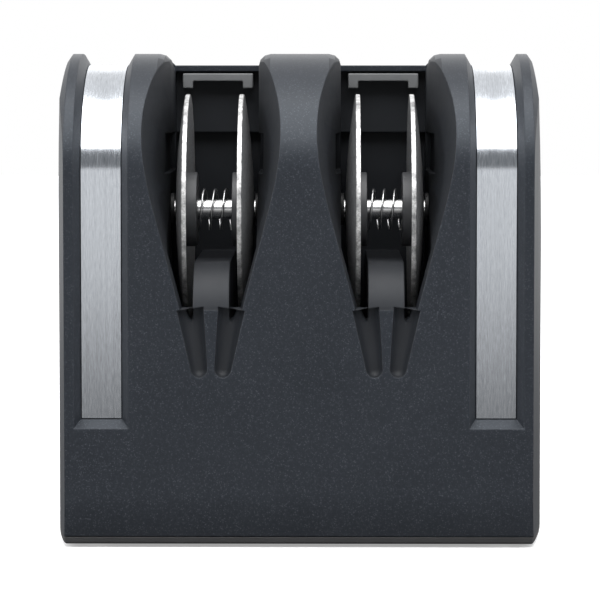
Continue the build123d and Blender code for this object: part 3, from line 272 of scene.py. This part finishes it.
def turned_steel(name, low, high, rough):
    """Bright steel with fine turning rings round X."""
    f = Finish(name, low, rough, metallic=1.0)
    rings = f.noise(3800, stretch=(1.0, 40.0, 40.0))
    stain = f.noise(300, detail=3.0, seed=6.0)
    f.put("Base Color", f.mix(stain, low, high))
    f.put("Roughness", (rough - 0.05) + rings * 0.12)
    f.put("Normal", f.bump(rings, 0.10, 0.04 * MM))
    return f.material


def plated_steel(name, low, high, rough):
    """Zinc-plated or rolled steel: soft spangle and small scratches."""
    f = Finish(name, low, rough, metallic=1.0)
    spangle = f.cell_shade(450)
    scratch = f.noise(900, detail=3.0, stretch=(1.0, 6.0, 1.0), seed=2.0)
    f.put("Base Color", f.mix(spangle * 0.5 + scratch * 0.5, low, high))
    f.put("Roughness", (rough - 0.08) + scratch * 0.2)
    f.put("Normal", f.bump(scratch, 0.08, 0.05 * MM))
    return f.material


def grit_disc():
    """Disc coated with grey abrasive grit; its rim is worn bright in patches."""
    f = Finish("abrasive_grit", (0.25, 0.255, 0.26), 0.55, metallic=0.35)
    y, z = f.axes()[1:]
    back, up = y - SHAFT_Y, z - SHAFT_Z
    radius = (back * back + up * up).power(0.5)
    grit = f.cell_shade(3600)
    fine = f.noise(6500, rough=0.7)
    sweep = f.noise(500, seed=7.0)
    worn = f.noise(420, detail=3.0, rough=0.7, seed=11.0)
    rim = radius.above(WORN_RIM_RADIUS, WORN_RIM_BLUR)
    shade = f.mix(grit * 0.6 + fine * 0.4, (0.15, 0.153, 0.158), (0.40, 0.405, 0.415))
    shade = f.mix(sweep.above(0.50, 0.25) * 0.35, shade, (0.50, 0.50, 0.51))
    bare = f.mix(worn.above(0.36, 0.26), (0.24, 0.24, 0.245), (0.84, 0.84, 0.83))
    shade = f.mix(rim, shade, f.mix(grit * 0.45, bare, (0.30, 0.30, 0.30)))
    f.put("Base Color", shade)
    f.put("Roughness", 0.40 + fine * 0.25 - rim * 0.12)
    f.put("Metallic", 0.35 + rim * 0.45)
    f.put("Normal", f.bump(grit * 0.6 + fine * 0.4, 0.45, 0.12 * MM))
    return f.material


def rubber(name):
    """Matt rubber with fine pores."""
    f = Finish(name, (0.02, 0.02, 0.02), 0.75, specular=0.3)
    cloud = f.noise(120)
    pores = f.noise(3000, detail=1.0, seed=3.0)
    f.put("Base Color", f.mix(cloud, (0.014, 0.014, 0.014), (0.030, 0.030, 0.031)))
    f.put("Roughness", 0.66 + cloud * 0.18)
    f.put("Normal", f.bump(pores, 0.15, 0.1 * MM))
    return f.material


def copper_wire():
    """Lacquered copper, wound round X."""
    f = Finish("wound_copper", (0.42, 0.14, 0.06), 0.35, metallic=0.8, coat=0.4)
    strand = f.noise(2500, detail=1.0, stretch=(1.0, 12.0, 12.0))
    f.put("Base Color", f.mix(strand, (0.28, 0.08, 0.03), (0.60, 0.24, 0.10)))
    f.put("Roughness", 0.28 + strand * 0.2)
    f.put("Normal", f.bump(strand, 0.5, 0.2 * MM))
    return f.material


def green_board():
    """Solder mask over faint copper tracks."""
    f = Finish("solder_mask", (0.02, 0.12, 0.05), 0.35, coat=0.3)
    tracks = f.value(
        "ShaderNodeTexBrick",
        {},
        {"Vector": f.place(), "Scale": 320.0, "Mortar Size": 0.02, "Color1": (0, 0, 0, 1),
         "Color2": (0, 0, 0, 1), "Mortar": (1, 1, 1, 1)},
        1,
    )
    cloud = f.noise(200)
    f.put("Base Color", f.mix(tracks, (0.015, 0.10, 0.045), (0.05, 0.24, 0.09)))
    f.put("Roughness", 0.3 + cloud * 0.15)
    return f.material


finishes = {
    "shell_black": sparkle_plastic(),
    "steel_brushed": brushed_steel(),
    "steel_bright": turned_steel("ground_steel", (0.62, 0.62, 0.63), (0.80, 0.80, 0.80), 0.22),
    "steel_plated": plated_steel("zinc_plate", (0.42, 0.42, 0.41), (0.62, 0.62, 0.60), 0.38),
    "disc_grit": grit_disc(),
    "plastic_grey": smooth_plastic("grey_nylon", (0.10, 0.104, 0.108), (0.14, 0.144, 0.148), 0.5),
    "plastic_black": smooth_plastic("black_satin", (0.012, 0.012, 0.013), (0.022, 0.022, 0.023), 0.5),
    "plastic_natural": smooth_plastic("natural_acetal", (0.45, 0.44, 0.40), (0.58, 0.57, 0.52), 0.45),
    "plastic_dark": smooth_plastic(
        "hub_nylon", (0.040, 0.041, 0.044), (0.070, 0.072, 0.076), 0.42, bump=0.12
    ),
    "rubber_black": rubber("black_rubber"),
    "bronze": plated_steel("sintered_bronze", (0.30, 0.19, 0.09), (0.46, 0.31, 0.16), 0.5),
    "copper": copper_wire(),
    "ferrite": smooth_plastic("ferrite", (0.05, 0.05, 0.055), (0.08, 0.08, 0.085), 0.6, bump=0.2),
    "carbon": smooth_plastic("carbon_block", (0.02, 0.02, 0.02), (0.05, 0.05, 0.05), 0.6, bump=0.2),
    "board_green": green_board(),
}
guide_plastic = smooth_plastic(
    "guide_satin", (0.010, 0.0118, 0.0150), (0.015, 0.0170, 0.0210), 0.54, bump=0.03, edge=0.5 * MM,
    specular=0.28,
)

slots = {row["node"]: row["material_slot"] for row in frame["record"]["subparts"]}
bodies = {}
for body, members in frame["record"]["behaviour"]["bodies"].items():
    for member in members:
        bodies[member] = body
for name, node in frame["nodes"].items():
    node.data.materials.clear()
    node.data.materials.append(finishes[slots[name]])


# ------------------------------------------------------------ pieces made from CAD nodes
def arch_y(z):
    """Y of the body's front surface at a height, m: the front face, then the two arcs of the arch."""
    if z <= ARCH_START_Z:
        return FRONT
    rise = APEX_Z - ARCH_START_Z
    turn = math.pi / 2 - 2 * math.atan2(rise - FRONT_ARC, ARCH_DEPTH - FRONT_ARC)
    bend_z = ARCH_START_Z + FRONT_ARC * math.sin(turn)
    if z <= bend_z:
        return FRONT + FRONT_ARC - math.sqrt(max(FRONT_ARC ** 2 - (z - ARCH_START_Z) ** 2, 0))
    top_arc = FRONT_ARC + (ARCH_DEPTH - FRONT_ARC) / math.cos(turn)
    return FRONT + ARCH_DEPTH - math.sqrt(max(top_arc ** 2 - (z - APEX_Z + top_arc) ** 2, 0))


def rear_arch_z(y):
    """Height of the body's top behind its apex, m."""
    behind = max(y - (FRONT + ARCH_DEPTH), 0.0)
    return APEX_Z - REAR_ARC + math.sqrt(REAR_ARC ** 2 - behind ** 2)


def inside_stage(centre):
    """True for a face of a knife mouth, its chamber, its tongue or its relief grooves."""
    aside = abs(abs(centre.x) - STAGE_X)
    behind_front = centre.y - arch_y(centre.z)
    under_top = rear_arch_z(centre.y) - centre.z
    return (
        aside < GUIDE_HALF_WIDTH
        and behind_front > GUIDE_SKIN
        and under_top > GUIDE_TOP_SKIN
        and centre.z > GUIDE_LOW_Z
        and centre.y < SPLIT_Y - GUIDE_SEAM_GAP
    )


def final_mesh(piece, name):
    """Applies the piece's modifiers, so that its mesh is plain."""
    made = bpy.data.meshes.new_from_object(
        piece.evaluated_get(bpy.context.evaluated_depsgraph_get())
    )
    piece.modifiers.clear()
    piece.data = made
    made.name = name
    return made


def merged_copy(mesh):
    """Copy of a CAD mesh with its triangles joined into flat faces."""
    copy = mesh.copy()
    shape = bmesh.new()
    shape.from_mesh(copy)
    bmesh.ops.remove_doubles(shape, verts=shape.verts, dist=0.002 * MM)
    bmesh.ops.dissolve_degenerate(shape, edges=shape.edges, dist=0.001 * MM)
    bmesh.ops.dissolve_limit(
        shape, angle_limit=math.radians(1.0), verts=shape.verts, edges=shape.edges, delimit=set()
    )
    shape.to_mesh(copy)
    shape.free()
    return copy


def moulded(node, name, width, inner=None):
    """Copy of a CAD node with its sharp edges rounded; it stands for the node.

    inner tells which of its faces get the guide plastic."""
    piece = bpy.data.objects.new(name, merged_copy(frame["nodes"][node].data))
    scene.collection.objects.link(piece)
    rounding = piece.modifiers.new("edge_rounding", "BEVEL")
    rounding.width = width
    rounding.segments = 2
    rounding.limit_method = "ANGLE"
    rounding.angle_limit = ROUNDED_FROM
    rounding.miter_outer = "MITER_ARC"
    made = final_mesh(piece, name)
    made.materials.clear()
    made.materials.append(finishes[slots[node]])
    if inner is not None:
        made.materials.append(guide_plastic)
        for face in made.polygons:
            face.material_index = 1 if inner(face.center) else 0
    made.shade_smooth()
    made.set_sharp_from_angle(angle=SHARP_FROM)
    flatten = piece.modifiers.new("flat_faces_stay_flat", "WEIGHTED_NORMAL")
    flatten.mode = "FACE_AREA"
    flatten.weight = 100
    flatten.keep_sharp = True
    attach(piece, bodies[node])
    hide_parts(node)


moulded("front_cover", "front_cover_moulding", 0.35 * MM, inner=inside_stage)
moulded("rear_cover", "rear_cover_moulding", 0.35 * MM)
moulded("base_plate", "base_moulding", 0.25 * MM)
for side in ("left", "right"):
    moulded(f"trim_strip_{side}", f"steel_strip_{side}", 0.15 * MM)
    moulded(f"knife_guard_{side}", f"guard_bracket_{side}", 0.3 * MM)
for n in range(1, 5):
    moulded(f"grinding_disc_{n}", f"grit_disc_{n}", 0.25 * MM)
    moulded(f"disc_hub_{n}", f"hub_{n}", 0.4 * MM)
moulded("switch_rocker", "rocker_button", 0.4 * MM)
moulded("switch_housing", "rocker_frame", 0.3 * MM)
moulded("cord_inlet", "cord_bush", 0.3 * MM)
moulded("filings_door", "tray_door", 0.25 * MM)


# ------------------------------------------------------------ coil springs, one half for each disc
def coil_tree():
    """Node tree that winds a wire, with its ends closed, and puts it in its place."""
    tree = bpy.data.node_groups.new("coil_spring", "GeometryNodeTree")
    face = tree.interface
    face.new_socket("Geometry", in_out="OUTPUT", socket_type="NodeSocketGeometry")
    for name in ("Turns", "Radius", "Length", "Wire"):
        face.new_socket(name, in_out="INPUT", socket_type="NodeSocketFloat")
    face.new_socket("Start", in_out="INPUT", socket_type="NodeSocketVector")
    face.new_socket("Turned", in_out="INPUT", socket_type="NodeSocketVector")
    face.new_socket("Finish", in_out="INPUT", socket_type="NodeSocketMaterial")
    add, link = tree.nodes.new, tree.links.new
    given, made = add("NodeGroupInput"), add("NodeGroupOutput")
    spiral = add("GeometryNodeCurveSpiral")
    spiral.inputs["Resolution"].default_value = 40
    place = add("GeometryNodeTransform")
    wire = add("GeometryNodeCurvePrimitiveCircle")
    wire.inputs["Resolution"].default_value = 12
    sweep = add("GeometryNodeCurveToMesh")
    sweep.inputs["Fill Caps"].default_value = True
    smooth = add("GeometryNodeSetShadeSmooth")
    coat = add("GeometryNodeSetMaterial")
    link(given.outputs["Turns"], spiral.inputs["Rotations"])
    link(given.outputs["Radius"], spiral.inputs["Start Radius"])
    link(given.outputs["Radius"], spiral.inputs["End Radius"])
    link(given.outputs["Length"], spiral.inputs["Height"])
    link(spiral.outputs[0], place.inputs["Geometry"])
    link(given.outputs["Start"], place.inputs["Translation"])
    link(given.outputs["Turned"], place.inputs["Rotation"])
    link(given.outputs["Wire"], wire.inputs["Radius"])
    link(place.outputs[0], sweep.inputs["Curve"])
    link(wire.outputs[0], sweep.inputs["Profile Curve"])
    link(sweep.outputs[0], smooth.inputs[0])
    link(smooth.outputs[0], coat.inputs["Geometry"])
    link(given.outputs["Finish"], coat.inputs["Material"])
    link(coat.outputs[0], made.inputs[0])
    return tree


def grown(name, tree, values, nodes):
    """Plain mesh from a node tree; it stands for the CAD nodes."""
    piece = bpy.data.objects.new(name, bpy.data.meshes.new(name))
    scene.collection.objects.link(piece)
    maker = piece.modifiers.new("maker", "NODES")
    maker.node_group = tree
    inputs = {item.name: item.identifier for item in tree.interface.items_tree if item.in_out == "INPUT"}
    for key, what in values.items():
        maker[inputs[key]] = what
    final_mesh(piece, name)
    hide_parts(*nodes)
    return piece


coil = coil_tree()
for side, label, discs in ((-1, "left", ("disc_1", "disc_2")), (1, "right", ("disc_3", "disc_4"))):
    for end, letter, disc in zip((-1, 1), "ab", discs):
        middle_x = side * STAGE_X
        outer_x = middle_x + end * SPRING_LENGTH / 2
        start_x = min(middle_x, outer_x)
        turned = (0.0, math.pi / 2, 0.0) if end < 0 else (math.pi, -math.pi / 2, 0.0)
        half = grown(
            f"spring_half_{label}_{letter}",
            coil,
            {
                "Turns": SPRING_TURNS / 2,
                "Radius": SPRING_RADIUS,
                "Length": SPRING_LENGTH / 2,
                "Wire": SPRING_WIRE / 2,
                "Start": (start_x, SHAFT_Y, SHAFT_Z),
                "Turned": turned,
                "Finish": finishes["steel_bright"],
            },
            [f"disc_spring_{label}"],
        )
        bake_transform(half)


# ------------------------------------------------------------ stage
COOL_WHITE = (0.94, 0.97, 1.0)
FLOOR_HALF = 3.0                  # m
CARD_HALF, CARD_Y, CARD_LOW, CARD_HIGH = 1.3, -1.6, 0.25, 1.06    # m


def stage_plane(name, corners, finish):
    """Flat piece of the studio."""
    mesh = bpy.data.meshes.new(name)
    mesh.from_pydata(corners, [], [(0, 1, 2, 3)])
    mesh.materials.append(finish.material)
    plane = bpy.data.objects.new(name, mesh)
    scene.collection.objects.link(plane)
    return plane


def floor_paper():
    """Pale paper that the camera sees as white, and that mirrors darker near the part."""
    f = Finish("floor_paper", (0.80, 0.80, 0.80), 0.9, specular=0.1)
    x, y, _ = f.axes()
    far = (x * x + y * y).power(0.5)
    seen = f.light_path("Is Camera Ray").largest(f.light_path("Is Transmission Ray"))
    lit = f.glow(seen * (0.35 + far.above(0.15, 0.5) * 0.65))
    paper = f.value("ShaderNodeAddShader", {}, {0: Sock(f, f.shader.outputs[0]), 1: lit})
    sheen = f.glow(0.24 + far.above(0.40, 0.95) * 0.76)
    mirrored = f.light_path("Is Glossy Ray")
    f.show(f.value("ShaderNodeMixShader", {}, {0: mirrored, 1: paper, 2: sheen}))
    return f


def grey_card():
    """Grey card behind the camera, which only gloss and metal see."""
    f = Finish("card_grey", (0.3, 0.3, 0.3), 0.9)
    clear = f.value("ShaderNodeBsdfTransparent", {}, {})
    grey = f.glow(0.26, COOL_WHITE)
    mirrored = f.light_path("Is Glossy Ray")
    f.show(f.value("ShaderNodeMixShader", {}, {0: mirrored, 1: clear, 2: grey}))
    return f


floor = stage_plane(
    "studio_floor",
    [(x * FLOOR_HALF, y * FLOOR_HALF, 0) for x, y in ((-1, -1), (1, -1), (1, 1), (-1, 1))],
    floor_paper(),
)
card = stage_plane(
    "studio_card",
    [(-CARD_HALF, CARD_Y, CARD_LOW), (CARD_HALF, CARD_Y, CARD_LOW),
     (CARD_HALF, CARD_Y, CARD_HIGH), (-CARD_HALF, CARD_Y, CARD_HIGH)],
    grey_card(),
)


def studio_world():
    """White where the camera, gloss and glass look, and a softer grey as a light."""
    world = bpy.data.worlds.new("studio")
    world.use_nodes = True
    nodes, link = world.node_tree.nodes, world.node_tree.links.new
    nodes.clear()
    ray = nodes.new("ShaderNodeLightPath")
    shown = ray.outputs["Is Camera Ray"]
    for other in ("Is Glossy Ray", "Is Transmission Ray"):
        either = nodes.new("ShaderNodeMath")
        either.operation = "MAXIMUM"
        link(shown, either.inputs[0])
        link(ray.outputs[other], either.inputs[1])
        shown = either.outputs[0]
    choose = nodes.new("ShaderNodeMixShader")
    link(shown, choose.inputs[0])
    for socket, color, strength in ((1, COOL_WHITE, 0.45), (2, (1.0, 1.0, 1.0), 1.0)):
        sky = nodes.new("ShaderNodeBackground")
        sky.inputs["Color"].default_value = (*color, 1.0)
        sky.inputs["Strength"].default_value = strength
        link(sky.outputs[0], choose.inputs[socket])
    out = nodes.new("ShaderNodeOutputWorld")
    link(choose.outputs[0], out.inputs["Surface"])
    return world


scene.world = studio_world()

# ------------------------------------------------------------ lamps
MIDDLE = Vector((0.0, 0.0, 90.0 * MM))    # every lamp points at it


def softbox(name, place, size, power):
    """Rectangular lamp, its size in m and its power in W."""
    light = bpy.data.lights.new(name, "AREA")
    light.shape = "RECTANGLE"
    light.size, light.size_y = size
    light.energy = power
    lamp = bpy.data.objects.new(name, light)
    scene.collection.objects.link(lamp)
    lamp.location = place
    lamp.rotation_euler = (MIDDLE - Vector(place)).to_track_quat("-Z", "Y").to_euler()


def overhead(name, low, high, reach, width, radiance):
    """Softbox seen from MIDDLE between two elevations, degrees (90 is straight up).

    reach is its edges' distance, m, and radiance its brightness, W/(m2 sr)."""
    centre = math.radians((low + high) / 2)
    half_angle = math.radians((high - low) / 2)
    away = reach * math.cos(half_angle)
    place = (MIDDLE.x, MIDDLE.y - away * math.cos(centre), MIDDLE.z + away * math.sin(centre))
    length = 2 * reach * math.sin(half_angle)
    softbox(name, place, (width, length), radiance * math.pi * width * length)


overhead("key_softbox", low=32, high=99, reach=1.0, width=1.1, radiance=4.1)
softbox("left_softbox", place=(-1.0, -0.22, 0.38), size=(0.50, 0.9), power=8.5)
softbox("right_softbox", place=(1.0, -0.22, 0.38), size=(0.50, 0.9), power=5.5)
softbox("back_light", place=(0.0, 1.1, 0.6), size=(1.2, 0.5), power=1.3)

# ------------------------------------------------------------ camera
FOCAL_PX, FRAME_PX = 3269.0, 600.0
SENSOR = 36.0                     # mm
AIM = Vector((0.36 * MM, FRONT, 65.27 * MM))
DISTANCE = 850.0 * MM
YAW, ELEVATION = math.radians(0.5), math.radians(4.0)
away = Vector(
    (math.sin(YAW) * math.cos(ELEVATION), -math.cos(YAW) * math.cos(ELEVATION), math.sin(ELEVATION))
)
camera_data = bpy.data.cameras.new("camera")
camera_data.sensor_width = SENSOR
camera_data.lens = SENSOR * FOCAL_PX / FRAME_PX
camera = bpy.data.objects.new("camera", camera_data)
scene.collection.objects.link(camera)
camera.location = AIM + away * DISTANCE
camera.rotation_euler = (-away).to_track_quat("-Z", "Y").to_euler()
scene.camera = camera
scene.view_settings.view_transform = "Standard"
